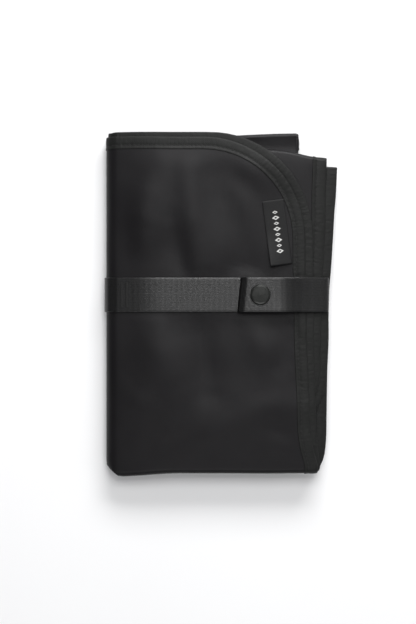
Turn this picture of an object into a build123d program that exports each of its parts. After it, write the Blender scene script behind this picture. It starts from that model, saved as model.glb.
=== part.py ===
from build123d import *
import os

# A padded changing mat, folded into a flat bundle and held shut by a webbing strap with a press stud.
# Frame: millimetres, +Z up, +Y along the bundle's long side, +X towards its open edges.
# The bundle lies on its back; the origin is at the bottom centre of the whole object's box.
#
# The flat mat is three rows by four columns. It is folded in half across the columns, then in three
# along the rows, then in half again, which makes twelve layers. Layer 0 is on top and layer 11 is
# underneath, and the outer shell faces up on the even layers and down on the odd ones.

# --- driving dimensions: the padded sheet ---
SHELL = 0.2                 # coated nylon outer cloth
WADDING = 0.6               # quilt wadding, pressed by the folding
LINING = 0.2                # wipe-clean inner cloth
TAPE = 0.2                  # one ply of the edge binding tape
TAPE_WIDTH = 8.8            # width of binding that shows on each face
PITCH = 1.5                 # distance from one layer to the next
LAYERS = 12
CORNER_RADIUS = 75.0        # rounded corners of the flat mat

# --- driving dimensions: the strap ---
WEB = 1.1                   # webbing thickness
WEB_WIDTH = 25.4
STRAP_Y = 5.85              # centre line of the strap
SKIN_GAP = 0.1              # air between strap and mat
CLEARANCE = 0.3             # air between pieces that move apart

# --- driving dimensions: the bundle's outline ---
LEFT_FOLD_X = -75.85        # centre line of the nested left folds
RIGHT_FOLD_X = 55.25        # centre line of the back half's right folds
BOTTOM_FOLD_Y = -121.25     # centre line of the nested bottom folds
FREE_LOW_Y = -120.5         # bound bottom edges, inside the bottom folds
FRONT_TOP_FOLD_Y = 107.55
FRONT_INNER_FOLD_Y = 99.6
BACK_TOP_FOLD_Y = 120.15
BACK_INNER_FOLD_Y = 117.0
STRAP_ZONE = 14.0           # half height of the straight stretch of the open edges beside the strap

# --- driving dimensions: the press stud, as radii and heights ---
SNAP_X = 28.8
CAP_RADIUS = 7.5
CAP_HEIGHT = 1.6
BARREL_RADIUS = 2.05
BARREL_WALL = 0.4
FLANGE_RADIUS = 6.0
POST_FLANGE_RADIUS = 5.0
POST_FLANGE = 0.5
STUD_FLANGE = 0.6
SOCKET_RADIUS = 6.2
SOCKET_BORE = 3.5
SPRING_WIRE = 0.25

# --- driving dimensions: the woven label ---
LABEL_WIDTH = 14.3
LABEL_LENGTH = 44.0
LABEL_PLY = 0.25
LABEL_CENTRE = (42.3, 50.6)
LABEL_TILT = 7.5            # degrees, turned anticlockwise from upright

# --- worked out from the above ---
SHEET = SHELL + WADDING + LINING
STACK_Z = WEB + SKIN_GAP
STACK_MIDDLE_Z = STACK_Z + LAYERS * PITCH / 2
SHEET_TOP_Z = STACK_Z + (LAYERS - 0.5) * PITCH + SHEET / 2
STRAP_LOW_Y = STRAP_Y - STRAP_ZONE
STRAP_HIGH_Y = STRAP_Y + STRAP_ZONE

# Each ply's lowest and highest distance from the middle of the sheet, towards the shell side.
PLIES = {
    "outer_shell": (SHEET / 2 - SHELL, SHEET / 2),
    "wadding": (LINING - SHEET / 2, SHEET / 2 - SHELL),
    "inner_lining": (-SHEET / 2, LINING - SHEET / 2),
}


class Leaf:
    """One flat layer of the bundle: its ends, the course of its right edge and what is bound."""

    def __init__(self, low, top, right, round_corner=None, bound=()):
        self.low, self.top = low, top
        self.right = right              # x at the low end, beside the strap, and at the top end
        self.round_corner = round_corner
        self.bound = bound              # any of "right", "top", "low"


LEAVES = [
    Leaf(BOTTOM_FOLD_Y, 121.7, (71.5, 61.8, 61.8), "top", ("right", "top")),
    Leaf(BOTTOM_FOLD_Y, 125.7, (74.0, 66.5, 67.0), "top", ("right", "top")),
    Leaf(FREE_LOW_Y, FRONT_TOP_FOLD_Y, (72.5, 72.5, 80.5), "low", ("right", "low")),
    Leaf(FREE_LOW_Y, FRONT_INNER_FOLD_Y, (75.5, 77.0, 85.8), "low", ("right", "low")),
    Leaf(BOTTOM_FOLD_Y, FRONT_INNER_FOLD_Y, (74.0, 77.6, 85.8), None, ("right",)),
    Leaf(BOTTOM_FOLD_Y, FRONT_TOP_FOLD_Y, (71.5, 77.0, 80.5), None, ("right",)),
    Leaf(BOTTOM_FOLD_Y, BACK_TOP_FOLD_Y, (RIGHT_FOLD_X,) * 3),
    Leaf(BOTTOM_FOLD_Y, BACK_INNER_FOLD_Y, (RIGHT_FOLD_X,) * 3),
    Leaf(FREE_LOW_Y, BACK_INNER_FOLD_Y, (RIGHT_FOLD_X,) * 3, None, ("low",)),
    Leaf(FREE_LOW_Y, BACK_TOP_FOLD_Y, (RIGHT_FOLD_X,) * 3, None, ("low",)),
    Leaf(BOTTOM_FOLD_Y, 122.8, (RIGHT_FOLD_X,) * 3, None, ("top",)),
    Leaf(BOTTOM_FOLD_Y, 121.7, (RIGHT_FOLD_X,) * 3, None, ("top",)),
]

# The pairs of layers that each side's folds join, upper layer first.
LEFT_FOLDS = [(0, 11), (1, 10), (2, 9), (3, 8), (4, 7), (5, 6)]
RIGHT_FOLDS = [(6, 7), (8, 9), (10, 11)]
BOTTOM_FOLDS = [(0, 5), (1, 4), (6, 11), (7, 10)]
TOP_FOLDS = [(2, 5), (3, 4), (6, 9), (7, 8)]


def layer_z(layer):
    """Height of the middle of a layer."""
    return STACK_Z + (LAYERS - layer - 0.5) * PITCH


def leaf_face(leaf, left, grow):
    """A leaf's outline, grown by the given distance past each of its named sides."""
    low = leaf.low - grow.get("low", 0)
    top = leaf.top + grow.get("top", 0)
    low_x, strap_x, top_x = (x + grow.get("right", 0) for x in leaf.right)
    points = [(left, low), (low_x, low), (strap_x, STRAP_LOW_Y), (strap_x, STRAP_HIGH_Y)]
    points += [(top_x, top), (left, top)]
    face = make_face(Polyline(*points, close=True))
    if leaf.round_corner:
        corner = (top_x, top) if leaf.round_corner == "top" else (low_x, low)
        radius = CORNER_RADIUS + grow.get("right", 0)
        vertex = face.vertices().sort_by_distance(Vector(*corner))[0]
        face = fillet(vertex, radius)
    return face


def slab(face, bottom, top):
    """A flat face at z = 0 made into a plate between two heights."""
    return extrude(Pos(0, 0, bottom) * face, amount=top - bottom)


def half_tube(plane, side, inner, outer, length):
    """Half a tube along a plane's normal, on the plane's +x or -x side."""
    ring = Circle(outer) - Circle(inner)
    half = Pos(side * outer, 0) * Rectangle(2 * outer, 4 * outer)
    return extrude(plane * (ring & half), amount=length)


class Fold:
    """A half-round bend that joins two layers at one side of the bundle."""

    def __init__(self, side, upper, lower):
        self.side, self.upper, self.lower = side, upper, lower
        self.radius = (layer_z(upper) - layer_z(lower)) / 2
        self.centre_z = (layer_z(upper) + layer_z(lower)) / 2
        first, second = LEAVES[upper], LEAVES[lower]
        if side in ("left", "right"):
            self.start = max(first.low, second.low)
            self.end = min(first.top, second.top)
        else:
            end = 0 if side == "bottom" else 2
            self.start = LEFT_FOLD_X
            self.end = first.right[end]
            self.centre_y = first.low if side == "bottom" else first.top

    def tube(self, inner, outer, start, end):
        """The bend's half tube between two radii, from one place along it to another."""
        if self.side in ("left", "right"):
            centre_x = LEFT_FOLD_X if self.side == "left" else RIGHT_FOLD_X
            plane = Plane((centre_x, start, self.centre_z), x_dir=(1, 0, 0), z_dir=(0, 1, 0))
            sign = -1 if self.side == "left" else 1
        else:
            plane = Plane((start, self.centre_y, self.centre_z), x_dir=(0, 1, 0), z_dir=(1, 0, 0))
            sign = -1 if self.side == "bottom" else 1
        return half_tube(plane, sign, inner, outer, end - start)

    def ply(self, near, far):
        """One ply of the sheet going round the bend."""
        if self.upper % 2 == 0:
            return self.tube(self.radius + near, self.radius + far, self.start, self.end)
        return self.tube(self.radius - far, self.radius - near, self.start, self.end)

    def tape(self, at_start):
        """The binding tape going round the bend, at its start or its end."""
        edge = self.start if at_start else self.end
        inward = TAPE_WIDTH if at_start else -TAPE_WIDTH
        outward = -TAPE if at_start else TAPE
        thick = SHEET / 2 + TAPE
        jacket = self.tube(
            self.radius - thick, self.radius + thick, *sorted((edge + inward, edge + outward))
        )
        core = self.tube(
            self.radius - SHEET / 2, self.radius + SHEET / 2, *sorted((edge + inward, edge))
        )
        return jacket - core


FOLDS = [
    Fold(side, upper, lower)
    for side, pairs in (
        ("left", LEFT_FOLDS), ("right", RIGHT_FOLDS), ("bottom", BOTTOM_FOLDS), ("top", TOP_FOLDS)
    )
    for upper, lower in pairs
]


def one_solid(pieces):
    """Pieces that meet face to face, joined."""
    first, *rest = pieces
    return first.fuse(*rest)


def sheet_ply(near, far):
    """One ply of the whole folded sheet: twelve flat layers and the bends between them."""
    pieces = []
    for layer, leaf in enumerate(LEAVES):
        middle = layer_z(layer)
        low, high = (middle + near, middle + far) if layer % 2 == 0 else (middle - far, middle - near)
        pieces.append(slab(leaf_face(leaf, LEFT_FOLD_X, {}), low, high))
    pieces += [fold.ply(near, far) for fold in FOLDS]
    return one_solid(pieces)


def leaf_tape(layer, leaf):
    """The binding tape along one layer's bound sides: a channel over both faces and the edge."""
    thick = SHEET / 2 + TAPE
    middle = layer_z(layer)
    outside = leaf_face(leaf, LEFT_FOLD_X, {side: TAPE for side in leaf.bound})
    past = {side: 1.0 for side in ("low", "top", "right") if side not in leaf.bound}
    inset = {side: -TAPE_WIDTH for side in leaf.bound}
    inside = leaf_face(leaf, LEFT_FOLD_X - 1, {**past, **inset})
    channel = slab(outside, middle - thick, middle + thick)
    channel -= slab(inside, middle - thick - 1, middle + thick + 1)
    channel -= slab(leaf_face(leaf, LEFT_FOLD_X, {}), middle - SHEET / 2, middle + SHEET / 2)
    return channel


def edge_binding():
    """The whole binding: a channel on each bound layer and a jacket round each bend it crosses."""
    pieces = [leaf_tape(layer, leaf) for layer, leaf in enumerate(LEAVES) if leaf.bound]
    for fold in FOLDS:
        sides = LEAVES[fold.upper].bound
        other = LEAVES[fold.lower].bound
        if fold.side in ("left", "right"):
            if "top" in other:
                pieces.append(fold.tape(at_start=False))
            if "low" in other:
                pieces.append(fold.tape(at_start=True))
        elif "right" in sides:
            pieces.append(fold.tape(at_start=False))
    return one_solid(pieces)


def across_strap(face, width=WEB_WIDTH):
    """A strap's side profile, drawn in x and z, given the strap's width along Y."""
    middle = Plane((0, STRAP_Y, 0), x_dir=(1, 0, 0), z_dir=(0, -1, 0))
    return extrude(middle * face, amount=width / 2, both=True)


# --- worked out: heights and places along the strap ---
ANCHOR_X = -69.0                                    # where the strap's free short end starts
WRAP_RADIUS = STACK_MIDDLE_Z - WEB / 2              # middle of the webbing round the left folds
RUN_TOP_Z = STACK_MIDDLE_Z + WRAP_RADIUS + WEB / 2  # top face of the webbing on the front
RUN_LOW_Z = RUN_TOP_Z - WEB
STUD_STRAP_END_X = 40.0
SIDE_X = 78.4                                       # inner face of the strap's right side
SIDE_LOW_Z = 1.7
SIDE_TOP_Z = 14.7
HINGE_GAP = 0.2

STUD_Z = RUN_TOP_Z + STUD_FLANGE                    # top of the stud's flange
STUD_HEAD = 1.8
FLARE = 0.25
POST_TOP_Z = STUD_Z + STUD_HEAD + FLARE
SOCKET_LOW_Z = STUD_Z + CLEARANCE + 0.05
SOCKET_PLATE_Z = POST_TOP_Z + CLEARANCE + FLARE + 0.1
SOCKET_TOP_Z = SOCKET_PLATE_Z + 0.6

HEM_LOW_Z = SOCKET_TOP_Z
HEM_GAP = 0.1
TAIL_LOW_Z = HEM_LOW_Z + WEB + HEM_GAP
TAIL_TOP_Z = TAIL_LOW_Z + WEB
HEM_X = 17.8                                        # rounded end of the folded hem
HEM_END_X = 37.6                                    # raw end of the ply that is folded under
SLOPE_X = 38.0                                      # where the tail starts down to the right side
SHOULDER = (78.5, 15.75)                            # middle of the webbing at the right shoulder


def strap_fixed_run():
    """Webbing sewn to the front leaf, round the left folds and flat under the whole bundle."""
    top_run = Pos((LEFT_FOLD_X + ANCHOR_X - HINGE_GAP) / 2, RUN_TOP_Z - WEB / 2) * Rectangle(
        ANCHOR_X - HINGE_GAP - LEFT_FOLD_X, WEB
    )
    back_run = Pos((LEFT_FOLD_X + SIDE_X) / 2, WEB / 2) * Rectangle(SIDE_X - LEFT_FOLD_X, WEB)
    wrap = Circle(WRAP_RADIUS + WEB / 2) - Circle(WRAP_RADIUS - WEB / 2)
    wrap &= Pos(-WRAP_RADIUS, 0) * Rectangle(2 * WRAP_RADIUS, 4 * WRAP_RADIUS)
    return across_strap(top_run + back_run + Pos(LEFT_FOLD_X, STACK_MIDDLE_Z) * wrap)


def anchor_bar_tack():
    """Rows of thread over the webbing where it is sewn to the front leaf."""
    thread, stitch, rows, spacing = 0.35, 2.4, 9, 2.0
    columns = (-74.0, -71.0)
    bar = Box(stitch, thread, 0.25, align=(Align.CENTER, Align.CENTER, Align.MIN))
    return Compound([
        Pos(x, STRAP_Y + (row - (rows - 1) / 2) * spacing, RUN_TOP_Z) * bar
        for x in columns for row in range(rows)
    ])


def strap_side_run():
    """Webbing up the bundle's open side, between the two bend lines of the strap."""
    height = SIDE_TOP_Z - SIDE_LOW_Z
    return across_strap(Pos(SIDE_X + WEB / 2, SIDE_LOW_Z + height / 2) * Rectangle(WEB, height))


def snap_hole(radius, low, high):
    """A round hole at the press stud's centre."""
    return Pos(SNAP_X, STRAP_Y, (low + high) / 2) * Cylinder(radius, high - low)


def strap_tail_webbing():
    """The long end of the strap: down from the hem to the right shoulder, with its end folded under."""
    bend = (TAIL_TOP_Z - HEM_LOW_Z) / 2
    drop = (TAIL_LOW_Z + WEB / 2 - SHOULDER[1]) / (SHOULDER[0] - SLOPE_X)
    half = WEB / 2 * (1 + drop**2) ** 0.5
    outline = Polyline(
        (HEM_X + bend, TAIL_TOP_Z), (SLOPE_X, TAIL_TOP_Z), (SHOULDER[0], SHOULDER[1] + half),
        (SHOULDER[0], SHOULDER[1] - half), (SLOPE_X, TAIL_LOW_Z), (HEM_X + bend, TAIL_LOW_Z), close=True
    )
    long_ply = make_face(outline)
    hem_ply = Pos((HEM_X + bend + HEM_END_X) / 2, HEM_LOW_Z + WEB / 2) * Rectangle(
        HEM_END_X - HEM_X - bend, WEB
    )
    turn = (Circle(bend) - Circle(HEM_GAP / 2)) & Pos(-bend, 0) * Rectangle(2 * bend, 4 * bend)
    turn = Pos(HEM_X + bend, HEM_LOW_Z + bend) * turn
    return across_strap(long_ply + hem_ply + turn) - snap_hole(BARREL_RADIUS, HEM_LOW_Z - 1, TAIL_TOP_Z + 1)


def stud_strap_webbing():
    """The short end of the strap, which carries the stud."""
    start = ANCHOR_X + HINGE_GAP
    run = Pos((start + STUD_STRAP_END_X) / 2, RUN_LOW_Z + WEB / 2) * Rectangle(
        STUD_STRAP_END_X - start, WEB
    )
    strap = across_strap(run) - snap_hole(BARREL_RADIUS, RUN_LOW_Z - 1, RUN_TOP_Z + 1)
    return strap - snap_hole(POST_FLANGE_RADIUS, RUN_LOW_Z - 1, RUN_LOW_Z + POST_FLANGE)


def turned(*points):
    """A press stud part turned about the stud's own centre line, from radius and height points."""
    profile = make_face(Plane.XZ * Polyline(*points, close=True))
    return Pos(SNAP_X, STRAP_Y, 0) * revolve(profile, Axis.Z)


def snap_post():
    """Eyelet under the short end; its barrel is flared over the stud."""
    bore = BARREL_RADIUS - BARREL_WALL
    low, high = RUN_LOW_Z, POST_TOP_Z
    return turned(
        (bore, low), (POST_FLANGE_RADIUS, low), (POST_FLANGE_RADIUS, low + POST_FLANGE),
        (BARREL_RADIUS, low + POST_FLANGE), (BARREL_RADIUS, high - FLARE),
        (BARREL_RADIUS + 0.4, high - FLARE), (BARREL_RADIUS + 0.4, high), (bore, high)
    )


def snap_stud():
    """Flange and beaded head that the socket grips."""
    neck, bead, crown = 2.65, 3.0, 2.45
    low, flange, high = RUN_TOP_Z, STUD_Z, STUD_Z + STUD_HEAD
    return turned(
        (BARREL_RADIUS, low), (FLANGE_RADIUS, low), (FLANGE_RADIUS, flange), (neck, flange),
        (neck, flange + 0.4), (bead, flange + 0.9), (bead, flange + 1.2), (crown, high),
        (BARREL_RADIUS, high)
    )


def snap_socket():
    """Round socket under the tail's hem, with a groove for its spring ring."""
    low, plate, high = SOCKET_LOW_Z, SOCKET_PLATE_Z, SOCKET_TOP_Z
    groove = SOCKET_BORE + SPRING_WIRE + 0.05
    return turned(
        (SOCKET_BORE, low), (SOCKET_RADIUS - 0.3, low), (SOCKET_RADIUS, low + 0.3),
        (SOCKET_RADIUS, high - 0.5), (SOCKET_RADIUS - 0.5, high), (BARREL_RADIUS, high),
        (BARREL_RADIUS, plate), (SOCKET_BORE, plate), (SOCKET_BORE, low + 0.8),
        (groove, low + 0.8), (groove, low + 0.2), (SOCKET_BORE, low + 0.2)
    )


def snap_spring():
    """Wire ring in the socket's groove."""
    return Pos(SNAP_X, STRAP_Y, SOCKET_LOW_Z + 0.5) * Torus(SOCKET_BORE, SPRING_WIRE)


def snap_cap():
    """Low domed cap on the front; its barrel is flared inside the socket."""
    bore = BARREL_RADIUS - BARREL_WALL
    base, high, foot = TAIL_TOP_Z, TAIL_TOP_Z + CAP_HEIGHT, SOCKET_PLATE_Z - FLARE
    return turned(
        (0, high), (CAP_RADIUS - 1.6, high - 0.12), (CAP_RADIUS - 0.8, high - 0.4),
        (CAP_RADIUS - 0.25, high - 0.85), (CAP_RADIUS, base + 0.3), (CAP_RADIUS - 0.1, base),
        (BARREL_RADIUS, base), (BARREL_RADIUS, SOCKET_PLATE_Z), (BARREL_RADIUS + 0.55, SOCKET_PLATE_Z),
        (BARREL_RADIUS + 0.55, foot), (bore, foot), (bore, base + 0.5), (0, base + 0.5)
    )


def woven_label():
    """Two-ply loop label that hangs from the binding's inner edge by its right side."""
    thick = 2 * LABEL_PLY + HEM_GAP
    bend = thick / 2
    body = Box(LABEL_WIDTH - bend, LABEL_LENGTH, thick) - Box(LABEL_WIDTH - bend, LABEL_LENGTH, HEM_GAP)
    across = Plane((-(LABEL_WIDTH - bend) / 2, -LABEL_LENGTH / 2, 0), x_dir=(1, 0, 0), z_dir=(0, 1, 0))
    turn = half_tube(across, -1, HEM_GAP / 2, bend, LABEL_LENGTH)
    middle_z = SHEET_TOP_Z + TAPE + SKIN_GAP + bend
    place = Pos(*LABEL_CENTRE, middle_z) * Rot(0, 0, LABEL_TILT) * Pos(bend / 2, 0, 0)
    return place * (body + turn)


os.makedirs("parts", exist_ok=True)
nodes = {name: sheet_ply(near, far) for name, (near, far) in PLIES.items()}
nodes["edge_binding"] = edge_binding()
for maker in (
    strap_fixed_run, anchor_bar_tack, strap_side_run, strap_tail_webbing, stud_strap_webbing,
    snap_post, snap_stud, snap_socket, snap_spring, snap_cap, woven_label
):
    nodes[maker.__name__] = maker()

for name, shape in nodes.items():
    export_step(shape, f"parts/{name}.step")

# Where each joint turns, for whoever mounts the part.
print("strap side axis", (SIDE_X + WEB / 2, STRAP_Y, SIDE_LOW_Z - HINGE_GAP))
print("strap tail axis", (SIDE_X + WEB / 2, STRAP_Y, SIDE_TOP_Z + CLEARANCE))
print("stud strap axis", (ANCHOR_X, STRAP_Y, RUN_LOW_Z + WEB / 2))
print("label centre height", SHEET_TOP_Z + TAPE + SKIN_GAP + LABEL_PLY + HEM_GAP / 2)
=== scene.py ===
"""Looks of the folded changing mat: one folded padded sheet with its binding and stitching, the
webbing strap, the woven label, and materials for the press stud, in a pale studio."""

import math

import bmesh
import bpy
import mathutils
import numpy as np
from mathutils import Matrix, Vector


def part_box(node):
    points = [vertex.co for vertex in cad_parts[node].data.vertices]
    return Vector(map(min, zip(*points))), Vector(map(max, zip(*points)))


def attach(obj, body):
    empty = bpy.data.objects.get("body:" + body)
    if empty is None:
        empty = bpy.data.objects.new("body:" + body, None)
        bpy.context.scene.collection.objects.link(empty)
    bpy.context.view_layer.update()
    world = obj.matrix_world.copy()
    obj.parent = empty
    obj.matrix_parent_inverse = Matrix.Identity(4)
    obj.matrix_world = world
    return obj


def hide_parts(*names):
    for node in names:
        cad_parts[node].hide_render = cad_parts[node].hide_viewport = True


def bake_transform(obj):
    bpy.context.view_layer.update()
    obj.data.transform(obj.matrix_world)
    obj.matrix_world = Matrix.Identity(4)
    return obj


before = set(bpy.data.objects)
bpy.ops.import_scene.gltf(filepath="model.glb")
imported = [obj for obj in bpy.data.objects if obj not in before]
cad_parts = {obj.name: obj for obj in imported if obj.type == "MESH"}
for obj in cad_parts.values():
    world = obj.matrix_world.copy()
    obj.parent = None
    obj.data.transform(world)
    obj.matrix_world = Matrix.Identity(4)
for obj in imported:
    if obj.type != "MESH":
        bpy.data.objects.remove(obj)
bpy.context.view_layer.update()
MM = 0.001


# ---------------------------------------------------------------- the folded sheet, in millimetres
# The flat sheet has a place u across it, from the middle fold line towards either side edge, and a
# place v along it, from its top edge. fold() puts a flat point, at a height n above the middle of
# the sheet towards its shell side, where it lies in the bundle.

PITCH = 1.5                                   # from one layer to the next
SHEET = 1.0                                   # thickness of the padded sheet
CORNER = 75.0                                 # corner radius of the flat mat
LEFT_X, RIGHT_X = -75.85, 55.25               # centres of the left folds and of the back's right folds
BOTTOM_Y, TOP_Y, FREE_TOP_Y, FREE_LOW_Y = -121.25, 110.0, 121.7, -120.5
MIDDLE_Z = 10.2                               # middle of the twelve layers
STRAP_Y = 5.85
STRAP_WIDTH, WEB = 25.4, 1.1
STRAP_HALF = STRAP_WIDTH / 2

TURN = PITCH * math.pi / 4                    # half of the middle fold's bend
TO_LEFT = TURN + RIGHT_X - LEFT_X             # where the left fold starts
FRONT = TO_LEFT + 3 * PITCH * math.pi         # where the front half's flat part starts
OUTER_EDGE = FRONT + 61.8 - LEFT_X            # the side edge that ends on the top layer
INNER_EDGE = FRONT + 66.5 - LEFT_X            # the side edge that ends on the layer below it
ROW_1 = FREE_TOP_Y - BOTTOM_Y
ROW_2 = ROW_1 + 2 * PITCH * math.pi
TOP_BEND = ROW_2 + TOP_Y - BOTTOM_Y
ROW_3 = TOP_BEND + PITCH * math.pi
LENGTH = ROW_3 + TOP_Y - FREE_LOW_Y


def box_mm(node):
    low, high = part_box(node)
    return np.array(low) / MM, np.array(high) / MM


# The label turns about its right side, which is sewn down: a place on it is a, across from that side,
# and b, along it from its middle.
label_low, label_high = box_mm("woven_label")
LABEL_WIDTH, LABEL_LENGTH, LABEL_TILT = 16.0, 48.0, math.radians(7.5)
LABEL_ACROSS = np.array([math.cos(LABEL_TILT), math.sin(LABEL_TILT)])
LABEL_ALONG = np.array([-math.sin(LABEL_TILT), math.cos(LABEL_TILT)])
HALF_FRAME_LABEL = 7.15                       # from the frame's label's middle to its hinge
LABEL_UP = 1.0
LABEL_SEWN = (label_low[:2] + label_high[:2]) / 2 + HALF_FRAME_LABEL * LABEL_ACROSS + LABEL_UP * LABEL_ALONG
LABEL_Z = (label_low[2] + label_high[2]) / 2


def smooth_step(low, high, value):
    t = np.clip((np.asarray(value, float) - low) / (high - low), 0, 1)
    return t * t * (3 - 2 * t)


def by_label(x, y):
    """From 1 where the label's stitching holds the sheet flat to 0 away from it."""
    from_sewn = np.stack([x, y], axis=-1) - LABEL_SEWN
    a, b = from_sewn @ LABEL_ACROSS, from_sewn @ LABEL_ALONG
    along = smooth_step(LABEL_LENGTH / 2 + 14, LABEL_LENGTH / 2 - 1, np.abs(b))
    return smooth_step(-LABEL_WIDTH - 13, -LABEL_WIDTH + 1, a) * smooth_step(24, 9, a) * along


def smooth_curve(points):
    """A smooth function through (x, y) points, flat beyond its ends."""
    x, y = (np.array(c, float) for c in zip(*points))
    rise = np.diff(y) / np.diff(x)
    product = rise[:-1] * rise[1:]
    turn = np.where(product > 0, 2 * product / np.where(product > 0, rise[:-1] + rise[1:], 1), 0)
    slope = np.concatenate([[0], turn, [0]])

    def at(value):
        value = np.clip(value, x[0], x[-1])
        i = np.clip(np.searchsorted(x, value, side="right") - 1, 0, len(x) - 2)
        h = x[i + 1] - x[i]
        t = (value - x[i]) / h
        a, b = y[i], y[i + 1]
        curve = (2 * t**3 - 3 * t**2 + 1) * a + (t**3 - 2 * t**2 + t) * h * slope[i]
        return curve + (3 * t**2 - 2 * t**3) * b + (t**3 - t**2) * h * slope[i + 1]

    return at


# How wide the front half's layers reach, along the sheet: x of each side edge.
OUTER_REACH = smooth_curve([
    (0, 61.8), (ROW_1 - 150, 61.8), (ROW_1 - 112, 62.5), (ROW_1 - 79, 63.5), (ROW_1 - 53, 64.7),
    (ROW_1 - 28, 65.1), (ROW_1 - 20, 66.0), (ROW_1 - 13, 67.3), (ROW_1 - 6, 69.4), (ROW_1, 70.8),
    (ROW_2, 70.8), (ROW_2 + 6, 74.6), (ROW_2 + 28, 76.8), (ROW_2 + 86, 78.4), (ROW_2 + 145, 78.6),
    (TOP_BEND, 77.6), (ROW_3, 77.6), (ROW_3 + 34, 77.0), (ROW_3 + 64, 75.9), (ROW_3 + 91, 74.4),
    (ROW_3 + 118, 73.6), (ROW_3 + 178, 73.0), (LENGTH, 72.4)
])
INNER_REACH = smooth_curve([
    (0, 67.2), (ROW_1 - 150, 67.6), (ROW_1 - 112, 68.1), (ROW_1 - 60, 68.9), (ROW_1 - 28, 69.6),
    (ROW_1 - 13, 70.9), (ROW_1, 72.6), (ROW_2, 72.6), (ROW_2 + 6, 75.6), (ROW_2 + 28, 77.8),
    (ROW_2 + 86, 78.8), (ROW_2 + 145, 80.0), (TOP_BEND, 85.4), (ROW_3, 85.4), (ROW_3 + 19, 84.4),
    (ROW_3 + 49, 82.9), (ROW_3 + 79, 80.9), (ROW_3 + 91, 79.8), (ROW_3 + 118, 78.8),
    (ROW_3 + 178, 78.0), (ROW_3 + 203, 77.6), (LENGTH - 12, 76.8), (LENGTH, 76.2)
])
# y of the free top edge and of the top folds' centres, across the sheet.
FREE_TOP = smooth_curve([
    (-INNER_EDGE, 125.3), (-FRONT, 125.1), (-TO_LEFT, 123.0), (-TURN, 122.0), (TO_LEFT, 121.0),
    (FRONT, 121.7), (OUTER_EDGE, 121.7)
])
TOP_FOLD = smooth_curve([
    (-INNER_EDGE, 98.9), (-INNER_EDGE + 40, 103.5), (-INNER_EDGE + 80, 108.5), (-FRONT, 113.5),
    (-TO_LEFT, 115.0), (-TURN - 60, 119.0), (-TURN - 36, 121.2), (0, 122.6), (TURN + 36, 121.4),
    (TURN + 70, 119.5), (TO_LEFT, 118.0), (FRONT, 117.5), (OUTER_EDGE - 80, 115.5),
    (OUTER_EDGE - 46, 111.4), (OUTER_EDGE - 27, 109.5), (OUTER_EDGE - 20, 107.8),
    (OUTER_EDGE - 13, 105.8), (OUTER_EDGE, 104.0)
])


def fold(u, v, n):
    """Flat points to their places in the ideal bundle, before the cloth settles."""
    u, v, n = (np.asarray(a, float) for a in np.broadcast_arrays(u, v, n))
    s, side = np.abs(u), np.where(u < 0, -1.0, 1.0)
    half = 0.5 * PITCH + n
    b = np.clip(s / (0.5 * PITCH), 0, math.pi / 2)
    w = side * np.where(s < TURN, half * np.sin(b), half)

    bottom, top = 2 * PITCH + w, PITCH + w
    a = np.clip((v - ROW_1) / (2 * PITCH), 0, math.pi)
    c = np.clip((v - TOP_BEND) / PITCH, 0, math.pi)
    rows = [v < ROW_1, v < ROW_2, v < TOP_BEND, v < ROW_3]
    y = np.select(rows, [
        BOTTOM_Y + ROW_1 - v, BOTTOM_Y - bottom * np.sin(a), BOTTOM_Y + v - ROW_2,
        TOP_Y + top * np.sin(c)
    ], TOP_Y - (v - ROW_3))
    h = np.select(rows, [bottom, bottom * np.cos(a), -bottom, -PITCH - top * np.cos(c)], w)

    first = (FREE_TOP(u) - BOTTOM_Y) / (FREE_TOP_Y - BOTTOM_Y)
    rest = (TOP_FOLD(u) - BOTTOM_Y) / (TOP_Y - BOTTOM_Y)
    stretch = np.where(v < ROW_1, first, rest)
    flat_y = np.where(v < ROW_1, y, np.minimum(y, TOP_Y))
    y = np.where(y > BOTTOM_Y, BOTTOM_Y + (flat_y - BOTTOM_Y) * stretch + y - flat_y, y)

    deep = 3 * PITCH + h
    t = np.clip((s - TO_LEFT) / (3 * PITCH), 0, math.pi)
    reach = np.where(side > 0, OUTER_REACH(v), INNER_REACH(v)) - LEFT_X
    spread = reach / np.where(side > 0, OUTER_EDGE - FRONT, INNER_EDGE - FRONT)
    parts = [s < TURN, s < TO_LEFT, s < FRONT]
    x = np.select(parts, [
        RIGHT_X + half * np.cos(b), RIGHT_X - (s - TURN), LEFT_X - deep * np.sin(t)
    ], LEFT_X + (s - FRONT) * spread)
    z = np.select(parts, [MIDDLE_Z - deep, MIDDLE_Z - deep, MIDDLE_Z - deep * np.cos(t)], MIDDLE_Z + deep)
    return np.stack([x, y, z], axis=-1)


# ---------------------------------------------------------------- how the cloth settles
def ridge(x, y, start, end, width, height):
    """A soft ridge, or a dent where height is negative, along a line from start to end."""
    p = np.stack([x, y], axis=-1) - np.array(start, float)
    d = np.array(end, float) - np.array(start, float)
    t = np.clip(p @ d / (d @ d), 0, 1)
    far = np.linalg.norm(p - t[..., None] * d, axis=-1)
    return height * np.exp(-(far / width) ** 2) * (0.45 + 0.55 * np.sin(math.pi * np.clip(t, 0.08, 0.92)))


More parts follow.
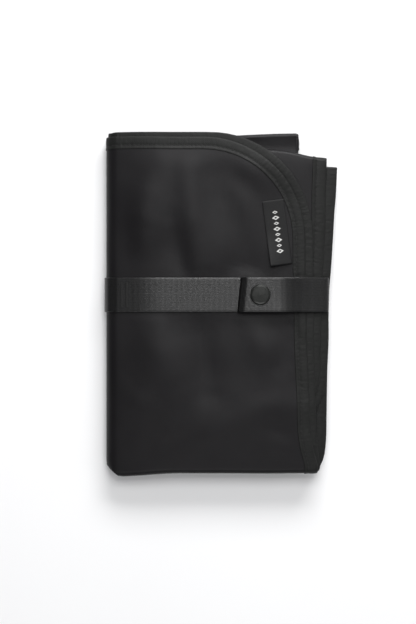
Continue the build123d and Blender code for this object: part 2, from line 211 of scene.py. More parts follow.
# Where the front leaf rises and dips, as (start, end, width, height).
FRONT_FORMS = [
    ((-26, 112), (-16, 22), 10, 1.9),
    ((-46, 104), (-58, 50), 11, 1.3),
    ((-68, 84), (-52, 22), 9, 0.9),
    ((-4, 92), (20, 26), 12, -2.0),
    ((-36, 60), (-28, 22), 7, -1.2),
    ((12, 110), (34, 84), 9, 1.3),
    ((2, 66), (-2, 22), 7, 1.0),
    ((-56, -12), (-30, -66), 13, 1.5),
    ((-16, -12), (-8, -66), 9, -1.9),
    ((22, -14), (40, -52), 9, 1.6),
    ((50, -30), (30, -66), 7, -1.0),
    ((4, -70), (-24, -108), 14, 1.6),
    ((-2, -96), (34, -76), 9, 1.1),
    ((34, -88), (52, -100), 8, -1.2),
    ((-46, -98), (-62, -116), 9, -0.9),
    ((42, 25), (52, 25), 6, -2.2),
]


def value_noise(x, y, size, seed):
    """Smooth random heights from -1 to 1 on a grid of the given size."""
    grid = np.random.default_rng(seed).uniform(-1, 1, (64, 64))
    gx, gy = x / size + 32, y / size + 32
    i, j = np.floor(gx).astype(int) % 63, np.floor(gy).astype(int) % 63
    fx, fy = (f - np.floor(f) for f in (gx, gy))
    fx, fy = fx * fx * (3 - 2 * fx), fy * fy * (3 - 2 * fy)
    low = grid[i, j] * (1 - fx) + grid[i + 1, j] * fx
    high = grid[i, j + 1] * (1 - fx) + grid[i + 1, j + 1] * fx
    return low * (1 - fy) + high * fy


CLOTH_STEP = 4.0
CLOTH_FRAMES = 36
CLOTH_LOW, CLOTH_HIGH = np.array([-84.0, -125.0]), np.array([80.0, 123.0])


def loose_cloth():
    """A slack cloth over the bundle's front, held at its edges and under the strap, is let settle.
    Its heights, in millimetres, are the creases that the padded sheet takes."""
    nx, ny = (((CLOTH_HIGH - CLOTH_LOW) / CLOTH_STEP).astype(int) + 1)
    x, y = np.meshgrid(np.arange(nx), np.arange(ny), indexing="ij")
    x, y = CLOTH_LOW[0] + x * CLOTH_STEP, CLOTH_LOW[1] + y * CLOTH_STEP
    start = 0.25 * value_noise(x, y, 34, 5) + 0.15 * value_noise(x, y, 19, 6)
    points = np.stack([x, y, start], axis=-1).reshape(-1, 3) * 0.01
    index = np.arange(nx * ny).reshape(nx, ny)
    faces = np.stack([index[:-1, :-1], index[1:, :-1], index[1:, 1:], index[:-1, 1:]], -1).reshape(-1, 4)
    mesh = bpy.data.meshes.new("loose_cloth")
    mesh.from_pydata(points.tolist(), [], faces.tolist())
    cloth = bpy.data.objects.new("loose_cloth", mesh)
    bpy.context.scene.collection.objects.link(cloth)
    edge = (x < CLOTH_LOW[0] + 6) | (x > CLOTH_HIGH[0] - 10)
    edge = edge | (y < CLOTH_LOW[1] + 6) | (y > CLOTH_HIGH[1] - 6)
    held = cloth.vertex_groups.new(name="held")
    held.add(index[edge | (np.abs(y - STRAP_Y) < STRAP_HALF)].ravel().tolist(), 1.0, "REPLACE")
    modifier = cloth.modifiers.new("Cloth", "CLOTH")
    settings = modifier.settings
    settings.quality = 6
    settings.vertex_group_mass = "held"
    settings.shrink_min = settings.shrink_max = -0.012
    settings.tension_stiffness = settings.compression_stiffness = 25
    settings.bending_stiffness = 6
    settings.effector_weights.gravity = 0
    settings.air_damping = 3
    modifier.point_cache.frame_start, modifier.point_cache.frame_end = 1, CLOTH_FRAMES
    scene = bpy.context.scene
    for number in range(1, CLOTH_FRAMES + 1):
        scene.frame_set(number)
    settled = cloth.evaluated_get(bpy.context.evaluated_depsgraph_get())
    heights = np.array([v.co.z for v in settled.data.vertices]).reshape(nx, ny) * 100
    bpy.data.objects.remove(cloth)
    scene.frame_set(1)
    return heights


creases = loose_cloth()


def crease_height(x, y):
    """The settled cloth's height at any place, between its points."""
    gx = np.clip((x - CLOTH_LOW[0]) / CLOTH_STEP, 0, creases.shape[0] - 1.001)
    gy = np.clip((y - CLOTH_LOW[1]) / CLOTH_STEP, 0, creases.shape[1] - 1.001)
    i, j = gx.astype(int), gy.astype(int)
    fx, fy = gx - i, gy - j
    low = creases[i, j] * (1 - fx) + creases[i + 1, j] * fx
    high = creases[i, j + 1] * (1 - fx) + creases[i + 1, j + 1] * fx
    return low * (1 - fy) + high * fy


def flatten(x, z):
    """The left folds are pressed thinner than the middle: height z at x comes down towards them."""
    past = np.maximum(-42 - np.asarray(x, float), 0)
    taper = np.where(past < 20, 0.003 * past**2, 1.2 + 0.12 * (past - 20))
    return z - taper * np.maximum(z - 1.15, 0) / 17.8


def blunt(x, y, start, end, keep):
    """Presses a corner in to near a line, which runs with the corner on its left side."""
    (x0, y0), (x1, y1) = start, end
    length = math.hypot(x1 - x0, y1 - y0)
    nx, ny = -(y1 - y0) / length, (x1 - x0) / length
    out = np.maximum((x - x0) * nx + (y - y0) * ny, 0) * (1 - keep)
    return x - out * nx, y - out * ny


def settle(points):
    """The ideal bundle pressed by its strap and gone soft between: points in and out, millimetres."""
    x, y, z = (points[..., k] for k in range(3))
    off_strap = smooth_step(STRAP_HALF + 1, STRAP_HALF + 34, np.abs(y - STRAP_Y))
    near_strap = smooth_step(STRAP_HALF, STRAP_HALF + 7, np.abs(y - STRAP_Y))
    level = (z - MIDDLE_Z) / (6 * PITCH)                   # -1 underneath, 1 on the front
    inside = smooth_step(LEFT_X - 9, LEFT_X + 22, x)
    to_edge = np.minimum(125 - y, y + 125)
    border = smooth_step(0, 26, to_edge)
    above = np.clip(level, 0, 1)

    puff = (1.1 * off_strap * border + 0.2) * inside * (1 - 0.7 * smooth_step(40, 84, x))
    form = sum(ridge(x, y, *f) for f in FRONT_FORMS) + np.clip(0.32 * crease_height(x, y), -0.7, 0.7)
    lift = above * near_strap * (puff + above**2 * border * inside * form) * (1 - 0.95 * by_label(x, y))
    sag = np.clip(-level, 0, 1) * (1.0 * off_strap * inside)
    back_form = 0.5 * value_noise(x, y, 31, 11) * np.clip(-level, 0, 1) * off_strap
    waves = 0.22 * value_noise(x + 40 * level, y, 23, 21) * off_strap * (1 - 0.8 * above * by_label(x, y))

    # The front half's open side has nothing under it past the back half, so its leaves droop apart.
    leaf = 1.3 + 3.2 * (1 - np.clip(level, 0, 1))
    droop = smooth_step(RIGHT_X + 4, 88, x) * smooth_step(-0.05, 0.1, level) * leaf
    new_z = flatten(x, z + lift - sag + back_form + waves - droop)

    # The back half's top fold is a loose roll: it dips where the front half's folds lie over it, and
    # its lower ply stands out a little at the open end.
    back = np.exp(-((level + 0.08) / 0.2)**2) * smooth_step(0, 22, x)
    new_z = new_z - 2.3 * back * np.exp(-((y - 115.5) / 3.2)**2) + 0.7 * back * smooth_step(118, 121, y)
    curl = smooth_step(49, 57, x) * smooth_step(104, 116, y) * smooth_step(0.02, -0.1, level)
    new_z = new_z + 0.8 * curl * (1 + level)
    x = x + 1.5 * curl * smooth_step(-0.2, -0.4, level)

    # Each layer's edges wander a little on their own.
    apart = 9 * (z - MIDDLE_Z)
    wander = 0.45 * value_noise(y, apart, 27, 33) * smooth_step(20, 70, x) * near_strap
    slip = 0.35 * value_noise(x, apart + 200, 31, 44) * smooth_step(60, 110, np.abs(y))
    x, y = x + wander, y + slip

    # The bottom folds bulge towards the left, and the bundle's lower corners are blunt.
    y = y - 2.5 * smooth_step(-30, -76, x) * smooth_step(-88, -122, y)
    x, y = blunt(x, y, (-75.0, -128.0), (-83.2, -120.4), 0.2)
    x, y = blunt(x, y, (77.4, -112.0), (71.4, -124.9), 0.2)
    return np.stack([x, y, np.maximum(new_z, 0.15)], axis=-1)


def place(u, v, n):
    """Flat points to where they lie in the settled bundle, in metres."""
    return settle(fold(u, v, n)) * MM


# ---------------------------------------------------------------- mesh helpers
def new_object(name, points, faces, material, smooth=True):
    """A mesh object from points in metres and faces as lists of point numbers."""
    mesh = bpy.data.meshes.new(name)
    mesh.from_pydata([tuple(p) for p in np.asarray(points).reshape(-1, 3).tolist()], [], faces)
    mesh.validate()
    mesh.update()
    made = bpy.data.objects.new(name, mesh)
    bpy.context.scene.collection.objects.link(made)
    if material:
        mesh.materials.append(material)
    if smooth:
        mesh.polygons.foreach_set("use_smooth", [True] * len(mesh.polygons))
    return made


def grid_faces(rows, columns, first=0, wrap=False, flip=False):
    """Faces of a grid of points; wrap joins its last column to its first."""
    index = first + np.arange(rows * columns).reshape(rows, columns)
    if wrap:
        index = np.concatenate([index, index[:, :1]], axis=1)
    quads = np.stack([index[:-1, :-1], index[1:, :-1], index[1:, 1:], index[:-1, 1:]], -1).reshape(-1, 4)
    return (quads[:, ::-1] if flip else quads).tolist()


def tube_mesh(rings):
    """Points and faces of a closed tube through rings of points, with flat ends."""
    rings = np.asarray(rings)
    rows, columns = rings.shape[:2]
    faces = grid_faces(rows, columns, wrap=True)
    faces.append(list(range(columns)))
    faces.append([(rows - 1) * columns + i for i in reversed(range(columns))])
    return rings.reshape(-1, 3), faces


def fix_normals(made):
    """Turns every face outwards."""
    work = bmesh.new()
    work.from_mesh(made.data)
    bmesh.ops.recalc_face_normals(work, faces=work.faces)
    work.to_mesh(made.data)
    work.free()
    return made


# ---------------------------------------------------------------- materials
def new_material(name, color, roughness, **settings):
    """A Principled material; settings are its other sockets by name. Returns its useful parts."""
    made = bpy.data.materials.new(name)
    made.use_nodes = True
    shader = made.node_tree.nodes["Principled BSDF"]
    shader.inputs["Base Color"].default_value = (*color, 1)
    shader.inputs["Roughness"].default_value = roughness
    for socket, value in settings.items():
        shader.inputs[socket.replace("_", " ")].default_value = value
    return made, made.node_tree, shader


def add_node(tree, kind, **settings):
    """A node with its properties set, and its sockets where the name is one of its inputs."""
    node = tree.nodes.new(kind)
    for name, value in settings.items():
        label = name.replace("_", " ").title()
        if label in node.inputs:
            node.inputs[label].default_value = value
        else:
            setattr(node, name, value)
    return node


def coordinates(tree, stretch=(1, 1, 1), uv=None):
    """Object coordinates, or a named UV map's, in millimetres times stretch."""
    source = add_node(tree, "ShaderNodeUVMap", uv_map=uv) if uv else tree.nodes.new("ShaderNodeTexCoord")
    scale = add_node(tree, "ShaderNodeMapping")
    scale.inputs["Scale"].default_value = [1000 * k for k in stretch]
    tree.links.new(source.outputs["UV" if uv else "Object"], scale.inputs["Vector"])
    return scale.outputs["Vector"]


def noise(tree, vector, scale, detail=3.0):
    node = add_node(tree, "ShaderNodeTexNoise", scale=scale, detail=detail)
    tree.links.new(vector, node.inputs["Vector"])
    return node.outputs["Fac"]


def ribs(tree, vector, period, direction):
    """Fine parallel ribs, one each period millimetres, across X or Y."""
    node = add_node(tree, "ShaderNodeTexWave", bands_direction=direction, scale=math.pi / 10 / period)
    tree.links.new(vector, node.inputs["Vector"])
    return node.outputs["Fac"]


def math_node(tree, operation, first, second):
    node = add_node(tree, "ShaderNodeMath", operation=operation)
    for socket, value in zip(node.inputs, (first, second)):
        if isinstance(value, (int, float)):
            socket.default_value = value
        else:
            tree.links.new(value, socket)
    return node.outputs[0]


def ramp(tree, value, low, high):
    """A value from 0 to 1 as a value from low to high."""
    node = add_node(tree, "ShaderNodeMapRange")
    node.inputs["To Min"].default_value, node.inputs["To Max"].default_value = low, high
    tree.links.new(value, node.inputs["Value"])
    return node.outputs["Result"]


def tint(tree, shader, value, dark, light):
    """Base colour between two colours, by a value from 0 to 1."""
    node = add_node(tree, "ShaderNodeMix", data_type="RGBA")
    node.inputs[6].default_value, node.inputs[7].default_value = (*dark, 1), (*light, 1)
    tree.links.new(value, node.inputs[0])
    tree.links.new(node.outputs[2], shader.inputs["Base Color"])


def add_bump(tree, shader, height, distance, strength=1.0):
    node = add_node(tree, "ShaderNodeBump", strength=strength, distance=distance * MM)
    tree.links.new(height, node.inputs["Height"])
    tree.links.new(node.outputs["Normal"], shader.inputs["Normal"])


def shell_material():
    """Black coated nylon: a fine plain weave with a soft sheen, faintly uneven from handling."""
    made, tree, shader = new_material("black_nylon", (0.008, 0.0075, 0.008), 0.42)
    shader.inputs["Specular IOR Level"].default_value = 0.20
    spot = coordinates(tree)
    handled = noise(tree, spot, 0.035, 4.0)
    tint(tree, shader, handled, (0.0045, 0.0040, 0.0047), (0.0080, 0.0073, 0.0083))
    tree.links.new(ramp(tree, handled, 0.36, 0.46), shader.inputs["Roughness"])
    weave = math_node(tree, "ADD", ribs(tree, spot, 0.5, "X"), ribs(tree, spot, 0.5, "Y"))
    soft = math_node(tree, "MULTIPLY", noise(tree, spot, 0.12, 2.0), 2.0)
    add_bump(tree, shader, math_node(tree, "ADD", weave, soft), 0.035, 0.5)
    return made


def lining_material():
    """Grey-black wipe-clean lining, smoother than the shell."""
    made, tree, shader = new_material("grey_lining", (0.02, 0.02, 0.022), 0.38)
    spot = coordinates(tree)
    uneven = noise(tree, spot, 0.06, 3.0)
    tint(tree, shader, uneven, (0.014, 0.014, 0.0155), (0.026, 0.026, 0.028))
    tree.links.new(ramp(tree, uneven, 0.32, 0.46), shader.inputs["Roughness"])
    add_bump(tree, shader, noise(tree, spot, 0.9, 2.0), 0.03, 0.4)
    return made


def binding_material():
    """Woven binding tape: close slanted ribs, drawn into small puckers along its line of stitches."""
    made, tree, shader = new_material("binding_tape", (0.007, 0.007, 0.007), 0.5)
    spot = coordinates(tree, uv="weave")
    worn = noise(tree, spot, 0.25, 4.0)
    tint(tree, shader, worn, (0.0042, 0.0044, 0.0041), (0.0098, 0.0102, 0.0095))
    tree.links.new(ramp(tree, worn, 0.46, 0.60), shader.inputs["Roughness"])
    shader.inputs["Specular IOR Level"].default_value = 0.22
    slant = add_node(tree, "ShaderNodeTexWave", bands_direction="DIAGONAL", scale=math.pi / 10 / 0.8)
    tree.links.new(spot, slant.inputs["Vector"])
    draw = add_node(tree, "ShaderNodeTexNoise", scale=1.0, detail=2.0)
    stretched = coordinates(tree, (0.45, 0.16, 1), uv="weave")
    tree.links.new(stretched, draw.inputs["Vector"])
    height = math_node(tree, "ADD", math_node(tree, "MULTIPLY", slant.outputs["Fac"], 0.15),
                       math_node(tree, "MULTIPLY", draw.outputs["Fac"], 1.6))
    add_bump(tree, shader, height, 0.32, 0.8)
    return made


def webbing_material():
    """Satin webbing: floats along the strap, so it gleams where it lies flat and goes dark as it
    turns, with close ribs across it whose grooves are painted darker, as shade."""
    made, tree, shader = new_material("satin_webbing", (0.02, 0.02, 0.021), 0.34)
    spot = coordinates(tree, uv="weave")
    across = ribs(tree, spot, 0.9, "X")
    along = ribs(tree, spot, 1.2, "Y")
    crowns = math_node(tree, "MULTIPLY", across, ramp(tree, along, 0.6, 1.0))
    speckle = noise(tree, spot, 0.9, 4.0)
    # Base colour: painted shade, darker in the grooves between the rib crowns, with random tone from the
    # speckle; the same mask also sets roughness and specular.
    uneven = math_node(tree, "MULTIPLY", crowns, ramp(tree, speckle, 0.1, 1.5))
    tint(tree, shader, uneven, (0.002, 0.002, 0.0021), (0.012, 0.0118, 0.012))
    tree.links.new(ramp(tree, uneven, 0.36, 0.25), shader.inputs["Roughness"])
    tree.links.new(ramp(tree, uneven, 0.15, 1.0), shader.inputs["Specular IOR Level"])
    shader.inputs["Anisotropic"].default_value = 0.85
    shader.inputs["Anisotropic Rotation"].default_value = 0.25
    tangent = add_node(tree, "ShaderNodeTangent", direction_type="UV_MAP", uv_map="weave")
    tree.links.new(tangent.outputs["Tangent"], shader.inputs["Tangent"])
    add_bump(tree, shader, crowns, 0.035, 0.6)
    return made


def thread_material():
    """Black sewing thread, two plies twisted."""
    made, tree, shader = new_material("black_thread", (0.006, 0.006, 0.006), 0.55)
    shader.inputs["Specular IOR Level"].default_value = 0.2
    strands = noise(tree, coordinates(tree), 3.0)
    tint(tree, shader, strands, (0.007, 0.007, 0.007), (0.026, 0.026, 0.026))
    tree.links.new(ramp(tree, strands, 0.48, 0.66), shader.inputs["Roughness"])
    add_bump(tree, shader, strands, 0.05, 0.6)
    return made


def label_material():
    """Close-woven dark grey label, with shade painted into the gaps of its weave."""
    made, tree, shader = new_material("label_weave", (0.012, 0.012, 0.0125), 0.6)
    shader.inputs["Specular IOR Level"].default_value = 0.24
    spot = coordinates(tree, uv="weave")
    rows = math_node(tree, "MULTIPLY", ribs(tree, spot, 0.45, "X"), ribs(tree, spot, 0.45, "Y"))
    speckle = math_node(tree, "ADD", rows, noise(tree, spot, 1.2, 2.0))
    # Base colour: painted shade, darker in the gaps between the woven rows, with random tone from the
    # noise.
    tint(tree, shader, ramp(tree, speckle, 0.0, 0.7), (0.0038, 0.0038, 0.0041), (0.0090, 0.0090, 0.0093))
    tree.links.new(ramp(tree, speckle, 0.52, 0.62), shader.inputs["Roughness"])
    add_bump(tree, shader, rows, 0.05, 0.7)
    return made


def motif_material():
    """Pale thread of the label's motif."""
    made, tree, shader = new_material("motif_thread", (0.55, 0.55, 0.54), 0.6)
    strands = noise(tree, coordinates(tree), 2.5)
    tint(tree, shader, strands, (0.40, 0.40, 0.39), (0.68, 0.68, 0.66))
    add_bump(tree, shader, strands, 0.06, 0.6)
    return made


def snap_material():
    """Dark enamelled metal with fine brushing."""
    made, tree, shader = new_material("dark_enamel", (0.030, 0.031, 0.029), 0.30, Metallic=0.4)
    spot = coordinates(tree)
    fine = noise(tree, spot, 0.6, 5.0)
    tint(tree, shader, fine, (0.008, 0.009, 0.008), (0.017, 0.018, 0.016))
    tree.links.new(ramp(tree, fine, 0.24, 0.38), shader.inputs["Roughness"])
    shader.inputs["Coat Weight"].default_value = 0.2
    shader.inputs["Coat Roughness"].default_value = 0.15
    add_bump(tree, shader, fine, 0.02, 0.35)
    return made


def spring_material():
    """Drawn steel wire."""
    made, tree, shader = new_material("spring_steel", (0.5, 0.5, 0.51), 0.3, Metallic=1.0)
    drawn = noise(tree, coordinates(tree, (1, 1, 8)), 0.8)
    tree.links.new(ramp(tree, drawn, 0.22, 0.4), shader.inputs["Roughness"])
    return made


SHELL, LINING, BINDING = shell_material(), lining_material(), binding_material()
WEBBING, THREAD, LABEL, MOTIF = webbing_material(), thread_material(), label_material(), motif_material()
SNAP, SPRING = snap_material(), spring_material()


# ---------------------------------------------------------------- the sheet, its binding and stitching
def steps(low, high, count):
    return np.linspace(low, high, count + 1)


def half_lines(edge):
    """Places across half the sheet where its surface has a line of points, from the middle fold out."""
    corner = edge - CORNER + CORNER * np.sin(steps(0, math.pi / 2, 16))
    parts = [
        steps(0, TURN, 4)[:-1], steps(TURN, TO_LEFT, 30)[:-1], steps(TO_LEFT, FRONT, 22)[:-1],
        steps(FRONT, edge - CORNER, 16)[:-1], corner
    ]
    return np.concatenate(parts)


OUTER_LINES, INNER_LINES = half_lines(OUTER_EDGE), half_lines(INNER_EDGE)
ACROSS = np.concatenate([-INNER_LINES[:0:-1], OUTER_LINES])
ALONG = np.concatenate([
    steps(0, ROW_1, 64)[:-1], steps(ROW_1, ROW_2, 14)[:-1], steps(ROW_2, TOP_BEND, 44)[:-1],
    steps(TOP_BEND, ROW_3, 12)[:-1], steps(ROW_3, LENGTH, 40)
])


def sheet_surface(n):
    """A grid of points over the whole sheet at a height above its middle, rounded at its corners."""
    u, v = np.meshgrid(ACROSS, ALONG, indexing="ij")
    past = np.clip(np.abs(u) - (np.where(u > 0, OUTER_EDGE, INNER_EDGE) - CORNER), 0, CORNER)
    cut = CORNER - np.sqrt(CORNER**2 - past**2)
    top = cut + v * (ROW_1 - cut) / ROW_1
    low = ROW_3 + (v - ROW_3) * (LENGTH - cut - ROW_3) / (LENGTH - ROW_3)
    v = np.where(v < ROW_1, top, np.where(v > ROW_3, low, v))
    return place(u, v, n)


def cloth_slab(name, low, high, material):
    """One cloth of the sheet between two heights above its middle, as a closed slab."""
    upper, lower = sheet_surface(high), sheet_surface(low)
    rows, columns = upper.shape[:2]
    count = rows * columns
    index = np.arange(count).reshape(rows, columns)
    rim = np.concatenate([index[:-1, 0], index[-1, :-1], index[:0:-1, -1], index[0, :0:-1]])
    after = np.roll(rim, -1)
    faces = grid_faces(rows, columns) + grid_faces(rows, columns, count, flip=True)
    faces += np.stack([rim, rim + count, after + count, after], -1).tolist()
    points = np.concatenate([upper.reshape(-1, 3), lower.reshape(-1, 3)])
    return fix_normals(new_object(name, points, faces, material))


def edge_path():
    """The sheet's edge, once round: u, v and the inward direction at each point."""
    path = []

    def corner(centre_u, centre_v, start):
        for angle in steps(start, start + math.pi / 2, 18)[:-1]:
            out_u, out_v = math.sin(angle), -math.cos(angle)
            path.append((centre_u + CORNER * out_u, centre_v + CORNER * out_v, -out_u, -out_v))

    outer, inner = OUTER_EDGE - CORNER, INNER_EDGE - CORNER
    flat = ACROSS[(ACROSS > -inner) & (ACROSS < outer)]
    upright = ALONG[(ALONG > CORNER) & (ALONG < LENGTH - CORNER)]
    path += [(u, 0, 0, 1) for u in flat]
    corner(outer, CORNER, 0)
    path += [(OUTER_EDGE, v, -1, 0) for v in upright]
    corner(outer, LENGTH - CORNER, math.pi / 2)
    path += [(u, LENGTH, 0, -1) for u in flat[::-1]]
    corner(-inner, LENGTH - CORNER, math.pi)
    path += [(-INNER_EDGE, v, 1, 0) for v in upright[::-1]]
    corner(-inner, CORNER, 1.5 * math.pi)
    return np.array(path, float)


EDGE = edge_path()
FACE = SHEET / 2                              # height of the sheet's face above its middle


def around_edge(inset, n):
    """Points at an inset from the edge and a height above the sheet's middle, once round."""
    return place(EDGE[:, 0] + inset * EDGE[:, 2], EDGE[:, 1] + inset * EDGE[:, 3], n)


# The tape's own height above the sheet's face, from its turned-in inner edge, down into the line of
# stitches, and out to the sheet's edge: (inset, height).
TAPE_SECTION = [
    (8.8, -0.05), (8.86, 0.16), (8.74, 0.38), (8.4, 0.48), (7.8, 0.42), (7.0, 0.28), (6.4, 0.12),
    (5.8, 0.12), (5.2, 0.24), (4.3, 0.34), (3.0, 0.36), (1.7, 0.30), (0.7, 0.22), (0.0, 0.06),
    (-0.42, -0.22)
]


def binding_tape():
    """The tape folded over the sheet's edge: its section, all the way round."""
    section = [(d, FACE + n) for d, n in TAPE_SECTION]
    section += [(d, -FACE - n * 0.6) for d, n in reversed(TAPE_SECTION)]
    section += [(0.4, -FACE + 0.05), (0.4, FACE - 0.05)]
    rings = np.stack([around_edge(d, n) for d, n in section], axis=1)
    rows, columns = rings.shape[:2]
    index = np.arange(rows * columns).reshape(rows, columns)
    quads = np.stack([
        index, np.roll(index, -1, 0), np.roll(np.roll(index, -1, 0), -1, 1), np.roll(index, -1, 1)
    ], -1)
    tape = new_object("edge_binding_tape", rings.reshape(-1, 3), quads.reshape(-1, 4).tolist(), BINDING)
    add_weave(tape, rings)
    return fix_normals(tape)


def add_weave(made, rings):
    """A UV map in metres: along the rings, and round each ring. A closed band ends at its full length."""
    closed = np.concatenate([rings.mean(1), rings[:1].mean(1)])
    along = np.concatenate([[0], np.cumsum(np.linalg.norm(np.diff(closed, axis=0), axis=-1))])
    round_ = np.linalg.norm(np.diff(rings, axis=1), axis=-1).mean(0)
    round_ = np.concatenate([[0], np.cumsum(round_)])
    rows, columns = rings.shape[:2]
    corners = np.zeros(len(made.data.loops), int)
    made.data.loops.foreach_get("vertex_index", corners)
    row, column = corners // columns, corners % columns
    starts = np.array([p.loop_start for p in made.data.polygons])
    sizes = np.array([p.loop_total for p in made.data.polygons])
    last = np.repeat(np.maximum.reduceat(row, starts), sizes)
    row = np.where((row == 0) & (last == rows - 1), rows, row)
    layer = made.data.uv_layers.new(name="weave")
    layer.data.foreach_set("uv", np.stack([along[row], round_[column]], -1).ravel())


STITCH_SPACING, STITCH_LENGTH, STITCH_RADIUS = 3.3, 2.2, 0.27
STITCH_INSET = 6.1


def capsules(count):
    """Unit stitches along their first axis: points for each of count stitches, and their faces."""
    angle = np.arange(5) * 2 * math.pi / 5
    rings = [(-0.5, 0.55), (-0.3, 1.0), (0.3, 1.0), (0.5, 0.55)]
    points = [(a, r * math.cos(t), r * math.sin(t)) for a, r in rings for t in angle]
    one = grid_faces(4, 5, wrap=True) + [[0, 1, 2, 3, 4], [19, 18, 17, 16, 15]]
    faces = [[i + 20 * k for i in face] for k in range(count) for face in one]
    return np.array(points), faces


def binding_stitches():
    """Lock stitches through the tape, showing on both of its faces."""
    closed = np.vstack([EDGE, EDGE[:1]])
    line = closed[:, :2] + STITCH_INSET * closed[:, 2:]
    length = np.concatenate([[0], np.cumsum(np.linalg.norm(np.diff(line, axis=0), axis=1))])
    count = int(length[-1] / STITCH_SPACING)
    unit, faces = capsules(2 * count)
    at = (np.arange(count) + 0.5) * length[-1] / count
    along = at[:, None] + unit[None, :, 0] * STITCH_LENGTH
    u, v, iu, iv = (np.interp(along, length, column) for column in (*line.T, *closed[:, 2:].T))
    across = unit[None, :, 1] * STITCH_RADIUS
    both = []
    for side in (1, -1):
        height = side * (FACE + 0.10 + STITCH_RADIUS * 0.9 * unit[None, :, 2] * side)
        both.append(place(u + across * iu, v + across * iv, np.broadcast_to(height, u.shape)))
    return fix_normals(new_object("binding_stitches", np.concatenate(both), faces, THREAD))


shell = cloth_slab("mat_shell", 0.03, FACE, SHELL)
lining = cloth_slab("mat_lining", -FACE, -0.03, LINING)
tape = binding_tape()
stitches = binding_stitches()
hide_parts("outer_shell", "wadding")
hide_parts("inner_lining")
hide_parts("edge_binding")
for piece, slot in ((shell, "shell_nylon"), (lining, "lining"), (tape, "binding"), (stitches, "thread")):
    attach(piece, "mat")


# ---------------------------------------------------------------- the strap
def arc(centre_x, centre_z, radius, start, end, count):
    """Points on an arc; angles in degrees from +X towards +Z."""
    angle = np.radians(steps(start, end, count))
    return [(centre_x + radius * math.cos(a), centre_z + radius * math.sin(a)) for a in angle]


def run(start, end, spacing=1.6):
    """Evenly spaced points on a straight run, without its ends."""
    start, end = np.array(start, float), np.array(end, float)
    count = max(2, int(np.linalg.norm(end - start) / spacing))
    return [tuple(start + (end - start) * k / count) for k in range(1, count)]


def ribbon(name, path, slant=None):
    """Webbing swept along a path in x and z, in millimetres: a flat section with soft edges."""
    path = np.array(path)
    tangent = np.gradient(path, axis=0)
    tangent /= np.linalg.norm(tangent, axis=1)[:, None]
    normal = np.stack([-tangent[:, 1], tangent[:, 0]], axis=1)
    across = [-1, -0.985, -0.95, -0.85, -0.6, -0.3, 0, 0.3, 0.6, 0.85, 0.95, 0.985, 1]
    thick = [0.2, 0.75, 1.0, 1.0, 0.97, 0.97, 0.97, 0.97, 0.97, 1.0, 1.0, 0.75, 0.2]
    section = [(k, t) for k, t in zip(across, thick)] + [(k, -t) for k, t in zip(across, thick)][::-1]
    rings = np.zeros((len(path), len(section), 3))
    for i, (k, t) in enumerate(section):
        offset = path + normal * (t * WEB / 2)
        rings[:, i, 0], rings[:, i, 2] = offset[:, 0], offset[:, 1]
        rings[:, i, 1] = STRAP_Y + k * STRAP_HALF
    if slant is not None:
        rings = slant(rings)
    points, faces = tube_mesh(rings * MM)
    made = new_object(name, points, faces, WEBBING)
    add_weave(made, rings * MM)
    return fix_normals(made)


side_low = box_mm("strap_side_run")[0]
tail_low, tail_high = box_mm("strap_tail_webbing")
stud_high = box_mm("stud_strap_webbing")[1]
SEAM_X = -20.0                                # where two lengths of webbing meet, under the back
WRAP = MIDDLE_Z - WEB / 2
RUN_Z = MIDDLE_Z + WRAP                       # middle of the webbing on the front
SIDE_X = side_low[0] + WEB / 2
TAIL_Z = tail_high[2] - WEB / 2               # middle of the tail's upper ply
HEM_Z = tail_low[2]

stud_path = [(SEAM_X, WEB / 2)] + run((SEAM_X, WEB / 2), (LEFT_X, WEB / 2))
stud_path += arc(LEFT_X, MIDDLE_Z, WRAP, -90, -270, 30)
stud_path += run((LEFT_X, RUN_Z), (stud_high[0], RUN_Z)) + [(stud_high[0], RUN_Z)]
stud_path = [(x, float(flatten(x, z))) for x, z in stud_path]
stud_end = ribbon("strap_stud_end", stud_path)
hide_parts("stud_strap_webbing", "strap_fixed_run")
# The bend's direction leans up, so the run underneath stays with the mat, all but its last 5 mm: from
# x = -25 mm to the seam it turns with the stud strap, which is a fault at any pose that lifts it.
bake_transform(stud_end)

TACK_X, TACK_WIDTH, TACK_HEIGHT, TACK_SPACING = (-72.9, -69.2), 1.9, 18.0, 0.62


def bar_tacks():
    """Two bar tacks hold the strap down beside the left folds: short satin stitches, closely spaced."""
    rows = int(TACK_HEIGHT / TACK_SPACING)
    unit, faces = capsules(2 * rows)
    parts = []
    for number, middle in enumerate(TACK_X):
        for k in range(rows):
            y = STRAP_Y + (k - (rows - 1) / 2) * TACK_SPACING
            skew = 0.12 * (-1)**(k + number)
            x = middle + unit[:, 0] * TACK_WIDTH
            across = y + unit[:, 1] * 0.30 + skew * unit[:, 0] * 2
            top = flatten(x, RUN_Z + WEB / 2) + 0.02 + unit[:, 2] * 0.22
            parts.append(np.stack([x, across, top], -1))
    return fix_normals(new_object("strap_bar_tacks", np.concatenate(parts) * MM, faces, THREAD))


tacks = bar_tacks()
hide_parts("anchor_bar_tack")
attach(tacks, "mat")

WALL_MIDDLE_Z = 8.2
back_path = [(SEAM_X, WEB / 2)] + run((SEAM_X, WEB / 2), (SIDE_X - 1.1, WEB / 2))
back_path += arc(SIDE_X - 1.1, WEB / 2 + 1.1, 1.1, -90, 0, 8)
back_path += run(back_path[-1], (SIDE_X, WALL_MIDDLE_Z), 1.0) + [(SIDE_X, WALL_MIDDLE_Z)]
strap_back = ribbon("strap_back", back_path)
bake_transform(strap_back)


def bezier(points, count):
    """Points on a cubic curve with four control points."""
    t = steps(0, 1, count)[:, None]
    a, b, c, d = (np.array(p, float) for p in points)
    return [tuple(p) for p in (1 - t)**3 * a + 3 * t * (1 - t)**2 * b + 3 * t**2 * (1 - t) * c + t**3 * d]


